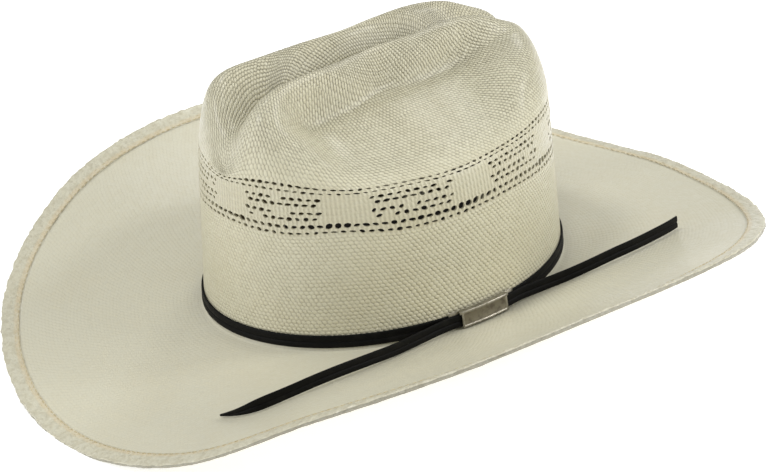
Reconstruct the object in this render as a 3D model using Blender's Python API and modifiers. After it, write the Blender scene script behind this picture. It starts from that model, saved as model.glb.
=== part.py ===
"""A woven straw western hat with a cattleman crown, as four solids.

The pieces are the straw body (crown and brim are woven as one), the hat band, the tie strap with its two
free ends, and the metal slide that holds the strap.

The front is -Y, the wearer's left is +X and up is +Z. The hat stands on the front and the back of its brim.
Each piece is worked out in the crown's own frame, where the brim starts at z = 0, and then laid on the floor.
A turn is an angle round the crown: 0 at the front, positive towards the wearer's left, 180 at the back.
"""

import math

import bmesh
import bpy
from mathutils import Matrix, Vector

# Crown, in metres, measured over the straw
CROWN_LENGTH = 0.204  # front to back, where the brim starts
CROWN_WIDTH = 0.176  # side to side, where the brim starts
CROWN_HEIGHT = 0.138  # from the brim to the two ridges
CROWN_FRONT_LEAN = 0.012  # how far the front wall leans in by the top
CROWN_BACK_LEAN = -0.0015
CROWN_SIDE_LEAN = 0.0086
CROWN_SQUARENESS = 9.0  # exponent of the rounded corner between wall and top
TOP_FALL = 0.015  # how much lower the top is at the back than in the middle
CREASE_DEPTH = 0.026
CREASE_HALF_WIDTH = 0.0108
CREASE_LENGTH = 0.090  # length of the line that the top's rings close on
SHOULDER_HEIGHT = 0.086  # where the wall turns in below the side dents
SHOULDER_SLOPE = 23.0  # degrees of the shelf between shoulder and dent
SHOULDER_ROUND = 0.006
RIDGE_OUT = 0.0165  # from the middle to the crest of each ridge
DENT_OUT = 0.035  # from the middle to where the dent reaches its full depth
NARROWEST = 0.45  # how far the shoulders close in at the ends, as a share
CREASED_FROM = (0.60, 0.88)  # the crease sets in between these shares of the crown's height
DENTED_FROM = (0.45, 0.65)

# Brim
BRIM_WIDTH = 0.111
BRIM_ROOT = 0.0015  # radius between crown and brim
BRIM_CURL = 0.45  # slope at the crown as a share of the mean slope, at the sides
HEM_WIDTH = 0.0105
HEM_FOLD = 0.0011  # the straw that the folded edge adds
STRAW_THICKNESS = 0.0019
PRESSED_FLAT = 0.0016  # how much of the brim's lowest edge the floor flattens

# Vents
VENT_REPEATS = 9
VENT_BORDER = 0.0017  # straw left round each gap

# Band, strap and slide
BAND_WIDTH = 0.007
BAND_THICKNESS = 0.001
BAND_FOOT = 0.0019  # height of the band's lower edge above the brim's start
STRAP_THICKNESS = 0.001
STRAP_LIFT = 0.0010  # free ends above the brim
STRAP_STEPS = 2
SLIDE_TURN = 90.8
SLIDE_LENGTH = 0.029  # the plate, without its wings
SLIDE_WING = 0.0065
SLIDE_FOOT = 0.0014
SLIDE_RIM = 0.0014  # rail over the strap's upper edge
SLIDE_THICKNESS = 0.0009
WING_THICKNESS = 0.0005
RAIL_OVERHANG = 0.001  # how far the rail reaches over each wing
SLIDE_STEPS = 8
GAP = 0.0003

MERGED = 1e-5  # corners this close are one
SHARP_ANGLE = 40.0
IVORY = (0.61, 0.59, 0.46)
BLACK = (0.008, 0.008, 0.006)
PEWTER = (0.30, 0.28, 0.23)

# Height of the brim's edge above its start, as a share of the brim's width
EDGE_RISE = (
    # turn, wearer's left, wearer's right
    (0.0, -0.20, -0.20),
    (22.5, -0.105, -0.09),
    (45.0, 0.17, 0.10),
    (67.5, 0.31, 0.29),
    (90.0, 0.36, 0.34),
    (112.5, 0.30, 0.265),
    (135.0, 0.15, 0.11),
    (157.5, -0.03, -0.095),
    (180.0, -0.11, -0.11),
)

# Lowest and highest edge of the open-work, as shares of the crown's height
VENT_EDGES = (
    # turn to either side, lowest, highest
    (0.0, 0.476, 0.683),
    (30.0, 0.464, 0.685),
    (50.0, 0.471, 0.675),
    (70.0, 0.449, 0.691),
    (90.0, 0.444, 0.669),
    (110.0, 0.445, 0.677),
    (135.0, 0.422, 0.665),
    (180.0, 0.392, 0.640),
)

# Form of the top along the crown, as shares of the full depths and of the distances from the middle
TOP_FORM = (
    # place from front (-1) to back (1), depths of crease and of side dents, spread of both, fall of the top
    (-1.00, 0.45, 0.00, 1.40, 0.75),
    (-0.85, 0.78, 0.13, 1.32, 0.28),
    (-0.70, 0.98, 0.46, 1.20, 0.07),
    (-0.50, 1.00, 0.90, 1.09, 0.00),
    (-0.25, 1.00, 1.00, 1.04, 0.00),
    (0.00, 1.00, 1.00, 0.90, 0.00),
    (0.20, 0.95, 1.00, 0.98, 0.00),
    (0.45, 0.85, 0.92, 0.92, 0.00),
    (0.65, 0.70, 0.55, 0.84, 0.28),
    (0.85, 0.50, 0.10, 0.75, 0.90),
    (1.00, 0.30, 0.00, 0.70, 1.00),
)

# Way of the tie strap, from the tip of its front end to the cut of its back end
STRAP_ROUTE = (
    # turn, distance from the crown as a share of the brim's width, 1 where held at the band's height, width
    (25.0, 0.590, 0.0, 0.15),
    (29.0, 0.610, 0.0, 0.60),
    (33.0, 0.605, 0.0, 1.00),
    (38.0, 0.540, 0.0, 1.00),
    (43.0, 0.455, 0.0, 1.00),
    (49.0, 0.350, 0.0, 1.00),
    (56.0, 0.230, 0.1, 1.00),
    (64.0, 0.110, 0.4, 1.00),
    (71.0, 0.040, 0.8, 1.00),
    (78.0, 0.004, 1.0, 1.00),
    (84.0, 0.000, 1.0, 1.00),
    (92.0, 0.000, 1.0, 1.00),
    (100.0, 0.000, 1.0, 1.00),
    (106.0, 0.006, 1.0, 1.00),
    (112.0, 0.040, 0.8, 1.00),
    (117.0, 0.085, 0.5, 1.00),
    (123.0, 0.160, 0.2, 1.00),
    (130.0, 0.260, 0.0, 1.00),
    (137.0, 0.375, 0.0, 1.00),
    (145.0, 0.500, 0.0, 1.00),
    (148.2, 0.545, 0.0, 1.00),
)

# One repeat of the open-work, from its top row down: x is a gap
VENT_CHART = (
    "x.x.x.x",
    ".xxx...",
    "..xx...",
    "x.x.x.x",
)
VENT_COLUMNS = len(VENT_CHART[0])
COLUMNS = VENT_REPEATS * VENT_COLUMNS

# Rings of the straw body, as shares of the size that each group follows
BRIM_RINGS = (0.76, 0.58, 0.40, 0.22, 0.03)  # of the brim's width
HEM_OUTER_RING = 0.35  # of the hem's width
HEM_RINGS = 3
ROOT_RINGS = (90.0, 45.0)  # degrees round the corner between brim and crown
WALL_TOP = 0.926  # of the crown's height
LOWER_WALL_RINGS = (0.30, 0.70)  # of the way from the brim to the open-work
UPPER_WALL_RINGS = (0.33, 0.67, 1.0)  # of the way from the open-work to the wall's top
TOP_RINGS = (0.87, 0.79, 0.67, 0.55, 0.44, 0.35, 0.27, 0.20, 0.15, 0.10, 0.05, 0.0)  # of the crown's half width

HAT = "western_hat"


def between(rows, column, place):
    """The value of a table's column at a place, on a smooth curve through its rows that is flat at both ends."""
    places = [row[0] for row in rows]
    values = [row[column] for row in rows]
    place = min(max(place, places[0]), places[-1])
    last = len(rows) - 2
    i = max(k for k in range(last + 1) if places[k] <= place)

    def slope(k):
        if k in (0, last + 1):
            return 0.0
        return (values[k + 1] - values[k - 1]) / (places[k + 1] - places[k - 1])

    step = places[i + 1] - places[i]
    t = (place - places[i]) / step
    start = (2 * t**3 - 3 * t**2 + 1) * values[i] + (t**3 - 2 * t**2 + t) * step * slope(i)
    end = (3 * t**2 - 2 * t**3) * values[i + 1] + (t**3 - t**2) * step * slope(i + 1)
    return start + end


def smooth_step(low, high, value):
    t = min(max((value - low) / (high - low), 0.0), 1.0)
    return t * t * (3 - 2 * t)


def oval(turn, half_width, half_length):
    """A point of an oval and the direction that leads straight out from it."""
    sine, cosine = math.sin(turn), math.cos(turn)
    out = Vector((sine / half_width, -cosine / half_length, 0)).normalized()
    return Vector((half_width * sine, -half_length * cosine, 0)), out


def brim_slope(turn):
    """Height gained over the whole brim, and the share of it that the slope at the crown stands for."""
    column = 1 if turn >= 0 else 2
    rise = BRIM_WIDTH * between(EDGE_RISE, column, abs(math.degrees(turn)))
    return rise, 1 + (BRIM_CURL - 1) * math.sin(turn) ** 2


def brim_reach(rise, root, share):
    """Level distance covered by a share of the brim's width, whose length along the straw doesn't change."""
    start = rise * root
    bend = 2 * rise * (1 - root)
    if abs(bend) < MERGED:
        return share * math.sqrt(BRIM_WIDTH**2 - start**2)

    def area(height):
        side = math.sqrt(BRIM_WIDTH**2 - height**2)
        return (height * side + BRIM_WIDTH**2 * math.asin(height / BRIM_WIDTH)) / 2

    return (area(start + bend * share) - area(start)) / bend


def brim_point(turn, share, lift=0.0):
    """A point on the brim's upper side, lifted square to the straw."""
    rise, root = brim_slope(turn)
    start, out = oval(turn, CROWN_WIDTH / 2, CROWN_LENGTH / 2)
    climb = rise * (root + 2 * (1 - root) * share)
    level = math.sqrt(BRIM_WIDTH**2 - climb**2)
    point = start + out * brim_reach(rise, root, share)
    point.z = rise * (root * share + (1 - root) * share**2)
    square = (Vector((0, 0, level)) - out * climb) / BRIM_WIDTH
    return point + square * lift


def root_point(turn, angle):
    """The rounded corner between brim and crown: 0 degrees on the wall, 90 on the brim."""
    bend = math.radians(angle)
    reach = BRIM_ROOT * (1 - math.cos(bend))
    point = brim_point(turn, reach / BRIM_WIDTH)
    point.z += BRIM_ROOT * (1 - math.sin(bend))
    return point


def crown_point(turn, height, share, out_by=0.0):
    """A point of the crown before it is creased, at a height, on the ring that has this share of the width."""
    side = math.sin(turn) ** 4
    toward_back = (1 - math.cos(turn)) / 2
    ends = CROWN_FRONT_LEAN + (CROWN_BACK_LEAN - CROWN_FRONT_LEAN) * toward_back
    lean = ends + (CROWN_SIDE_LEAN - ends) * side
    edge, out = oval(turn, CROWN_WIDTH / 2, CROWN_LENGTH / 2)
    point = (edge - out * lean * height / CROWN_HEIGHT) * share
    along = 1 - 2 * abs(turn) / math.pi
    point.y -= (1 - share) * along * CREASE_LENGTH / 2
    point.z = height
    return point + out * out_by


def corner(value):
    """The other share on the rounded corner between wall and top."""
    return (1 - value**CROWN_SQUARENESS) ** (1 / CROWN_SQUARENESS)


def wall_point(turn, group, share):
    """A point on the wall, this share of the way through a group: 0 below the open-work, 1 in it, 2 above it."""
    aside = abs(math.degrees(turn))
    low = between(VENT_EDGES, 1, aside)
    high = between(VENT_EDGES, 2, aside)
    ends = (BRIM_ROOT / CROWN_HEIGHT, low, high, WALL_TOP)
    rise = ends[group] + (ends[group + 1] - ends[group]) * share
    return creased(crown_point(turn, rise * CROWN_HEIGHT, corner(rise)))


def top_point(turn, share):
    return creased(crown_point(turn, corner(share) * CROWN_HEIGHT, share))


def creased(point):
    """The crease along the top and the dents beside it, pressed into the plain crown."""
    x, y, z = point
    place = y / (CROWN_LENGTH / 2)
    crease_share, dent_share, spread, fall = (between(TOP_FORM, column, place) for column in (1, 2, 3, 4))
    crease = CREASE_DEPTH * crease_share * math.exp(-((x / spread / CREASE_HALF_WIDTH) ** 2))
    lowered = (crease + TOP_FALL * fall) * smooth_step(*CREASED_FROM, z / CROWN_HEIGHT)
    slope = math.radians(SHOULDER_SLOPE)
    narrowing = max(math.sqrt(max(1 - place**2, 0.0)), NARROWEST)
    half_width = (CROWN_WIDTH / 2 - CROWN_SIDE_LEAN * SHOULDER_HEIGHT / CROWN_HEIGHT) * narrowing
    above = (abs(x) - half_width) * math.sin(slope) + (z - SHOULDER_HEIGHT) * math.cos(slope)
    above = (above + math.hypot(above, SHOULDER_ROUND)) / 2
    dent = dent_share * smooth_step(RIDGE_OUT, DENT_OUT, abs(x) / spread)
    pushed = above * dent * smooth_step(*DENTED_FROM, z / CROWN_HEIGHT)
    pushed_in = math.copysign(pushed * math.sin(slope), x)
    return Vector((x - pushed_in, y, z - lowered - pushed * math.cos(slope)))


def body_rings():
    """Each ring of the straw body, from the brim's edge to the top: its point function and its place there."""
    hem_share = HEM_WIDTH / BRIM_WIDTH
    step_share = HEM_FOLD / BRIM_WIDTH

    def hem(turn, share):
        return brim_point(turn, share, HEM_FOLD)

    rings = [(hem, 1.0), (hem, 1 - HEM_OUTER_RING * hem_share), (hem, 1 - hem_share)]
    rings.append((brim_point, 1 - hem_share - step_share))
    rings += [(brim_point, share) for share in BRIM_RINGS]
    rings += [(root_point, angle) for angle in ROOT_RINGS]
    rings += [(wall_point, 0, share) for share in (0.0, *LOWER_WALL_RINGS)]
    first_vent = len(rings)
    rows = len(VENT_CHART)
    rings += [(wall_point, 1, k / rows) for k in range(rows + 1)]
    rings += [(wall_point, 2, share) for share in UPPER_WALL_RINGS]
    rings += [(top_point, share) for share in TOP_RINGS]
    return rings, first_vent


def sheet(columns, rows, point_at):
    """A grid of quads whose corners are moved to point_at(column, row)."""
    form = bmesh.new()
    bmesh.ops.create_grid(form, x_segments=columns, y_segments=rows, size=0.5)
    for vert in form.verts:
        column = round((vert.co.x + 0.5) * columns)
        row = round((vert.co.y + 0.5) * rows)
        vert.co = point_at(column, row)
    return form


def turn_of(column):
    """The turn of a column, with the first and the last one meeting at the back."""
    return math.radians(360 * column / COLUMNS - 180)


def material(name, colour, roughness, metallic=0.0):
    made = bpy.data.materials.new(name)
    made.use_nodes = True
    shader = made.node_tree.nodes["Principled BSDF"]
    shader.inputs["Base Color"].default_value = (*colour, 1)
    shader.inputs["Roughness"].default_value = roughness
    shader.inputs["Metallic"].default_value = metallic
    return made


def new_object(name, form, made_of, parts):
    mesh = bpy.data.meshes.new(name)
    form.to_mesh(mesh)
    form.free()
    piece = bpy.data.objects.new(name, mesh)
    piece.data.materials.append(made_of)
    parts.objects.link(piece)
    return piece


def applied(piece):
    """The object's mesh with its modifiers worked in."""
    graph = bpy.context.evaluated_depsgraph_get()
    mesh = bpy.data.meshes.new_from_object(piece.evaluated_get(graph))
    piece.modifiers.clear()
    piece.data = mesh
    return piece


def thicken(piece, thickness, offset):
    """Thickness for an open sheet: along its normals for offset 1, against them for -1."""
    shell = piece.modifiers.new("thickness", "SOLIDIFY")
    shell.thickness = thickness
    shell.offset = offset
    shell.use_quality_normals = True
    return shell


def make_body(straw, parts):
    """Crown and brim as one open sheet with its vents left out, given its thickness downwards and inwards."""
    rings, first_vent = body_rings()

    def point_at(column, row):
        ring, *place = rings[row]
        return ring(turn_of(column), *place)

    form = sheet(COLUMNS, len(rings) - 1, lambda column, row: (column, row, 0))
    rows = len(VENT_CHART)
    for face in form.faces:
        middle = face.calc_center_median()
        chart_row = rows - 1 - (int(middle.y) - first_vent)
        if 0 <= chart_row < rows and VENT_CHART[chart_row][int(middle.x) % VENT_COLUMNS] == "x":
            face.material_index = 1
    hem = form.verts.layers.deform.new("hem")
    for vert in form.verts:
        column, row = round(vert.co.x), round(vert.co.y)
        vert[hem][0] = 1.0 if row < HEM_RINGS else 0.0
        vert.co = point_at(column, row)
    bmesh.ops.remove_doubles(form, verts=form.verts, dist=MERGED)
    vents = [face for face in form.faces if face.material_index == 1]
    bmesh.ops.inset_individual(form, faces=vents, thickness=VENT_BORDER, use_even_offset=True)
    bmesh.ops.delete(form, geom=vents, context="FACES")
    for face in form.faces:
        face.material_index = 0
    body = new_object("straw_body", form, straw, parts)

    body.vertex_groups.new(name="hem")
    hem_thickness = STRAW_THICKNESS + HEM_FOLD
    shell = thicken(body, hem_thickness, -1)
    shell.vertex_group = "hem"
    shell.thickness_vertex_group = STRAW_THICKNESS / hem_thickness
    return applied(body)


def standing_place(body):
    """The matrix that lays the hat on the floor, level from the front of its brim to the back."""
    front = brim_point(0.0, 1.0, -STRAW_THICKNESS)
    back = brim_point(math.pi, 1.0, -STRAW_THICKNESS)
    lean = math.atan2(back.z - front.z, back.y - front.y)
    tip = Matrix.Rotation(-lean, 4, "X")
    corners = [tip @ vertex.co for vertex in body.data.vertices]
    middle_x = (min(c.x for c in corners) + max(c.x for c in corners)) / 2
    middle_y = (min(c.y for c in corners) + max(c.y for c in corners)) / 2
    floor = (tip @ front).z + PRESSED_FLAT
    return Matrix.Translation((-middle_x, -middle_y, -floor)) @ tip


def lay_on_floor(body):
    """Straw that would reach below the floor is pressed flat on it."""
    for vertex in body.data.vertices:
        vertex.co.z = max(vertex.co.z, 0.0)


def held_point(turn, height, out_by):
    """A point at a height beside the crown's wall, this far out from the straw."""
    return crown_point(turn, height, corner(height / CROWN_HEIGHT), out_by)


def make_band(fabric, parts):
    """A closed band round the crown's foot."""

    def point_at(column, row):
        return held_point(turn_of(column), BAND_FOOT + BAND_WIDTH * row, GAP)

    form = sheet(COLUMNS, 1, point_at)
    bmesh.ops.remove_doubles(form, verts=form.verts, dist=MERGED)
    band = new_object("hat_band", form, fabric, parts)
    thicken(band, BAND_THICKNESS, 1)
    return applied(band)


def strap_out():
    """Distance from the straw to the strap's inner face where the slide holds it."""
    return GAP + BAND_THICKNESS + GAP + WING_THICKNESS + GAP


def strap_point(place, row):
    """A point on the strap's inner face: place counts the rows of its route, row is 0 below and 1 above."""
    rows = [(k, *values) for k, values in enumerate(STRAP_ROUTE)]
    turn = math.radians(between(rows, 1, place))
    share = between(rows, 2, place)
    held = between(rows, 3, place)
    width = BAND_WIDTH * between(rows, 4, place)
    free = brim_point(turn, share + strap_out() / BRIM_WIDTH, STRAP_LIFT)
    free.z += width * row
    away = share * BRIM_WIDTH + strap_out()
    return free.lerp(held_point(turn, BAND_FOOT + width * row, away), held)


def make_strap(fabric, parts):
    """A strap that stands on its edge, through the slide and out over the brim at both ends."""

    def point_at(column, row):
        return strap_point(column / STRAP_STEPS, row)

    form = sheet(STRAP_STEPS * (len(STRAP_ROUTE) - 1), 1, point_at)
    strap = new_object("tie_strap", form, fabric, parts)
    thicken(strap, STRAP_THICKNESS, 1)
    return applied(strap)


def bent_block(name, along, up, out, metal, parts):
    """A block that follows the crown's wall: its reach along, up and out from the straw, as (start, end) pairs."""
    half_width, half_length = CROWN_WIDTH / 2, CROWN_LENGTH / 2
    middle = math.radians(SLIDE_TURN)
    form = bmesh.new()
    bmesh.ops.create_cube(form, size=1.0)
    lengthwise = [edge for edge in form.edges if edge.verts[0].co.x * edge.verts[1].co.x < 0]
    bmesh.ops.subdivide_edges(form, edges=lengthwise, cuts=SLIDE_STEPS - 1, use_grid_fill=True)
    speed = math.hypot(half_width * math.cos(middle), half_length * math.sin(middle))
    for vert in form.verts:
        share_along, share_out, share_up = (c + 0.5 for c in vert.co)
        distance = along[0] + (along[1] - along[0]) * share_along
        height = up[0] + (up[1] - up[0]) * share_up
        away = out[0] + (out[1] - out[0]) * share_out
        vert.co = held_point(middle + distance / speed, height, away)
    bmesh.ops.recalc_face_normals(form, faces=form.faces)
    return new_object(name, form, metal, parts)


def make_slide(metal, parts, cutters):
    """The plate in front of the strap, a rail over the strap's upper edge and two wings behind the strap."""
    half = SLIDE_LENGTH / 2
    end = half + SLIDE_WING
    strap_top = BAND_FOOT + BAND_WIDTH
    top = strap_top + GAP + SLIDE_RIM
    wing_in = GAP + BAND_THICKNESS + GAP
    wing_out = wing_in + WING_THICKNESS
    plate_in = strap_out() + STRAP_THICKNESS + GAP
    plate_out = plate_in + SLIDE_THICKNESS
    plate = bent_block("slide_buckle", (-half, half), (SLIDE_FOOT, top), (plate_in, plate_out), metal, parts)
    extras = (
        ("slide_rail", (-half - RAIL_OVERHANG, half + RAIL_OVERHANG), (strap_top + GAP, top), (wing_in, plate_out)),
        ("slide_front_wing", (-end, -half), (BAND_FOOT, top), (wing_in, wing_out)),
        ("slide_back_wing", (half, end), (BAND_FOOT, top), (wing_in, wing_out)),
    )
    for name, along, up, out in extras:
        other = bent_block(name, along, up, out, metal, cutters)
        other.hide_render = True
        other.display_type = "WIRE"
        union = plate.modifiers.new(name, "BOOLEAN")
        union.operation = "UNION"
        union.object = other
    applied(plate)
    for other in list(cutters.objects):
        bpy.data.objects.remove(other)
    return plate


def main():
    for old in list(bpy.data.objects):
        bpy.data.objects.remove(old)
    parts = bpy.data.collections.new(HAT)
    cutters = bpy.data.collections.new(HAT + "_cutters")
    bpy.context.scene.collection.children.link(parts)
    bpy.context.scene.collection.children.link(cutters)

    straw = material("ivory_straw", IVORY, 0.6)
    fabric = material("black_strap", BLACK, 0.55)
    metal = material("pewter", PEWTER, 0.38, 1.0)

    body = make_body(straw, parts)
    place = standing_place(body)
    pieces = [body, make_band(fabric, parts), make_strap(fabric, parts), make_slide(metal, parts, cutters)]
    for piece in pieces:
        piece.data.transform(place)
        piece.data.shade_smooth()
        piece.data.set_sharp_from_angle(angle=math.radians(SHARP_ANGLE))
    lay_on_floor(body)


main()
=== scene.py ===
# %% [markdown]
# # A woven straw western hat
#
# The hat is woven from glossy ivory straw in one piece: a crown with a cattleman crease, a band of
# open-work round it, and a wide brim that curls up at the sides. A thin black band and strap with a metal
# slide sit at the crown's foot. The plain solids come first, and every visible piece is then made round
# them, in metres: the front of the hat looks along -Y, the wearer's left is +X, and up is +Z.

# %% Load the plain solids
import math

import bmesh
import bpy
import numpy as np
from mathutils import Matrix, Vector


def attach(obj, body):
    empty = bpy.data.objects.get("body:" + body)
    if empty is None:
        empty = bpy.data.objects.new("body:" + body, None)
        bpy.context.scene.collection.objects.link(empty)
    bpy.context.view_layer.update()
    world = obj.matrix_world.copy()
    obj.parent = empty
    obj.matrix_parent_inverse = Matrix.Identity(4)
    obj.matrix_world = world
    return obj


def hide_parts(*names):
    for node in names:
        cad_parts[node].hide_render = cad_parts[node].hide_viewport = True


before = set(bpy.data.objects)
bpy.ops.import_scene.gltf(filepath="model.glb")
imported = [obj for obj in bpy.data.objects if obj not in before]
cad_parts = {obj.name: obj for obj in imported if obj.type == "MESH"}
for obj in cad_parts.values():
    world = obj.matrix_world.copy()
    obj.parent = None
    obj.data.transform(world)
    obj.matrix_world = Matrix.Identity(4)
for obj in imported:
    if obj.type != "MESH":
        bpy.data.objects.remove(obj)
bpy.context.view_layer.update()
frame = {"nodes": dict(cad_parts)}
print("solids:", ", ".join(frame["nodes"]))

# %% [markdown]
# ## The camera
#
# The picture was taken from the wearer's front left, a little above the hat, with a long lens, so lines
# that run away from the camera hardly draw together. The hat leans in the frame, so the camera is rolled
# a few degrees about its own line of sight. Angles and a distance say this better than a position would.

# %% Camera
AIM = Vector((-0.0048, 0.0059, 0.0332))
AZIMUTH, ELEVATION, ROLL = (math.radians(angle) for angle in (57.76, 26.16, -7.495))
CAMERA_DISTANCE = 2.0
LENS, SENSOR = 172.5, 36.0

level = Vector((math.sin(AZIMUTH), -math.cos(AZIMUTH), 0))
towards_camera = level * math.cos(ELEVATION) + Vector((0, 0, math.sin(ELEVATION)))
right = Vector((math.cos(AZIMUTH), math.sin(AZIMUTH), 0))
upward = towards_camera.cross(right)
rolled_right = right * math.cos(ROLL) + upward * math.sin(ROLL)
rolled_up = upward * math.cos(ROLL) - right * math.sin(ROLL)

camera = bpy.data.objects.new("camera", bpy.data.cameras.new("camera"))
camera.data.lens, camera.data.sensor_width = LENS, SENSOR
turned = Matrix((rolled_right, rolled_up, towards_camera)).transposed()
camera.matrix_world = Matrix.Translation(AIM + towards_camera * CAMERA_DISTANCE) @ turned.to_4x4()
bpy.context.scene.collection.objects.link(camera)
bpy.context.scene.camera = camera
print("camera at", [round(value, 3) for value in camera.location])

# %% [markdown]
# ## The hat's own sizes
#
# A hat maker works from a head size, a crown height and a brim width, and shapes the rest on a block.
# The same few sizes stand here, with short tables for what changes round the brim and along the top.
# Everything is worked out in the crown's own frame, where the brim starts at height 0. A turn is an angle
# round the crown: 0 at the front, positive towards the wearer's left, half a turn at the back.

# %% Sizes of crown and brim
CROWN_LENGTH, CROWN_WIDTH, CROWN_HEIGHT = 0.204, 0.176, 0.138
FRONT_LEAN, BACK_LEAN, SIDE_LEAN = 0.012, -0.0015, 0.0086
SQUARENESS = 9.0  # exponent of the rounded corner between wall and top
TOP_FALL = 0.015
CREASE_DEPTH, CREASE_HALF_WIDTH, CREASE_LENGTH = 0.026, 0.0108, 0.090
SHOULDER_HEIGHT, SHOULDER_ROUND, SHOULDER_SLOPE = 0.086, 0.006, math.radians(23)
RIDGE_OUT, DENT_OUT, NARROWEST = 0.0165, 0.035, 0.45
CREASED_FROM, DENTED_FROM = (0.60, 0.88), (0.45, 0.65)
WALL_END = 0.128  # distance up the wall at which the top's own rows begin
BRIM_WIDTH, BRIM_ROOT, BRIM_CURL = 0.111, 0.0015, 0.45
HEM_WIDTH, HEM_FOLD = 0.0105, 0.0011
STRAW_THICKNESS, PRESSED_FLAT = 0.0019, 0.0016
MERGED = 1e-5

EDGE_RISE = (
    # turn in degrees, rise of the brim's edge over its width on the wearer's left, and on the right
    (0.0, -0.20, -0.20),
    (22.5, -0.105, -0.09),
    (45.0, 0.17, 0.10),
    (67.5, 0.31, 0.29),
    (90.0, 0.36, 0.34),
    (112.5, 0.30, 0.265),
    (135.0, 0.15, 0.11),
    (157.5, -0.03, -0.095),
    (180.0, -0.11, -0.11),
)
TOP_FORM = (
    # place from front (-1) to back (1), depths of crease and of side dents, spread of both, fall of the top
    (-1.00, 0.45, 0.00, 1.40, 0.75),
    (-0.85, 0.78, 0.13, 1.32, 0.28),
    (-0.70, 0.98, 0.46, 1.20, 0.07),
    (-0.50, 1.00, 0.90, 1.09, 0.00),
    (-0.25, 1.00, 1.00, 1.04, 0.00),
    (0.00, 1.00, 1.00, 0.90, 0.00),
    (0.20, 0.95, 1.00, 0.98, 0.00),
    (0.45, 0.85, 0.92, 0.92, 0.00),
    (0.65, 0.70, 0.55, 0.84, 0.28),
    (0.85, 0.50, 0.10, 0.75, 0.90),
    (1.00, 0.30, 0.00, 0.70, 1.00),
)


def between(rows, column, place):
    """The value of a table's column at each place, on a smooth curve that is flat at both ends."""
    table = np.array(rows, float)
    places, values = table[:, 0], table[:, column]
    slopes = np.zeros(len(table))
    slopes[1:-1] = (values[2:] - values[:-2]) / (places[2:] - places[:-2])
    place = np.clip(place, places[0], places[-1])
    i = np.clip(np.searchsorted(places, place, side="right") - 1, 0, len(table) - 2)
    step = places[i + 1] - places[i]
    t = (place - places[i]) / step
    start = (2 * t**3 - 3 * t**2 + 1) * values[i] + (t**3 - 2 * t**2 + t) * step * slopes[i]
    end = (3 * t**2 - 2 * t**3) * values[i + 1] + (t**3 - t**2) * step * slopes[i + 1]
    return start + end


def smooth_step(low, high, value):
    t = np.clip((value - low) / (high - low), 0.0, 1.0)
    return t * t * (3 - 2 * t)


print("crown", CROWN_LENGTH, "x", CROWN_WIDTH, "x", CROWN_HEIGHT, "m, brim", BRIM_WIDTH, "m")

# %% [markdown]
# ## The form of the brim
#
# Seen from above the crown's foot is an oval, and the brim runs straight out from it. Its straw keeps its
# length when it is curled, so a raised side reaches less far out. The height gained is a parabola in the
# share of the brim's width, steeper towards the edge at the sides, and the level reach follows from it.

# %% Points on the brim
UP = np.array((0.0, 0.0, 1.0))


def vectors(x, y, z):
    return np.stack(np.broadcast_arrays(x, y, z), axis=-1).astype(float)


def times(vector, number):
    return vector * np.asarray(number, float)[..., None]


def oval(turn):
    """Points on the oval of the crown's foot, and the directions that lead straight out from it."""
    half_width, half_length = CROWN_WIDTH / 2, CROWN_LENGTH / 2
    out = vectors(np.sin(turn) / half_width, -np.cos(turn) / half_length, 0)
    out /= np.linalg.norm(out, axis=-1, keepdims=True)
    return vectors(half_width * np.sin(turn), -half_length * np.cos(turn), 0), out


def brim_slope(turn):
    """Height gained over the whole brim, and the share of it that the slope at the crown stands for."""
    aside = np.abs(np.degrees(turn))
    rise = np.where(turn >= 0, between(EDGE_RISE, 1, aside), between(EDGE_RISE, 2, aside))
    return BRIM_WIDTH * rise, 1 + (BRIM_CURL - 1) * np.sin(turn) ** 2


def brim_reach(rise, root, share):
    """Level distance covered by a share of the brim's width, whose length along the straw stays."""
    start = rise * root
    bend = 2 * rise * (1 - root)
    bend = np.where(np.abs(bend) < MERGED, MERGED, bend)

    def area(height):
        side = np.sqrt(BRIM_WIDTH**2 - height**2)
        return (height * side + BRIM_WIDTH**2 * np.arcsin(height / BRIM_WIDTH)) / 2

    return (area(start + bend * share) - area(start)) / bend


def brim_point(turn, share, lift=0.0):
    """Points on the brim's upper side, lifted square to the straw."""
    rise, root = brim_slope(turn)
    start, out = oval(turn)
    climb = rise * (root + 2 * (1 - root) * share)
    point = start + times(out, brim_reach(rise, root, share))
    point[..., 2] = rise * (root * share + (1 - root) * share**2)
    square = (times(UP, np.sqrt(BRIM_WIDTH**2 - climb**2)) - times(out, climb)) / BRIM_WIDTH
    return point + times(square, lift)


def root_point(turn, angle, lift=0.0):
    """The rounded corner between brim and crown: 0 on the wall, a quarter turn on the brim."""
    point = brim_point(turn, BRIM_ROOT * (1 - math.cos(angle)) / BRIM_WIDTH)
    point[..., 2] += BRIM_ROOT * (1 - math.sin(angle))
    square = brim_point(turn, 0.0, 1.0) - brim_point(turn, 0.0)
    return point + (oval(turn)[1] * math.cos(angle) + square * math.sin(angle)) * lift


quarter = np.radians([0.0, 90.0, 180.0])
print("brim's edge at front, side and back:", brim_point(quarter, 1.0).round(3).tolist())

# %% [markdown]
# ## The form of the crown
#
# A crown is blocked as a plain oval bowl, then its top is pushed in: one long crease down the middle and
# a flat dent along each side, which leaves two ridges between them. The bowl's section is a squarish
# curve. The crease is a bell-shaped groove, and a dent is a slanting cut whose edge is rounded off.

# %% Points on the crown
def section():
    """Distances along the bowl's section from the brim to the middle of the top, with height and width."""
    angle = np.linspace(0, math.pi / 2, 3000)
    share = np.cos(angle).clip(0) ** (2 / SQUARENESS)
    height = CROWN_HEIGHT * np.sin(angle) ** (2 / SQUARENESS)
    steps = np.hypot(np.diff(share * CROWN_WIDTH / 2), np.diff(height))
    return np.concatenate([[0], np.cumsum(steps)]), height, share


SECTION = section()
SECTION_LENGTH = SECTION[0][-1]


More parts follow.
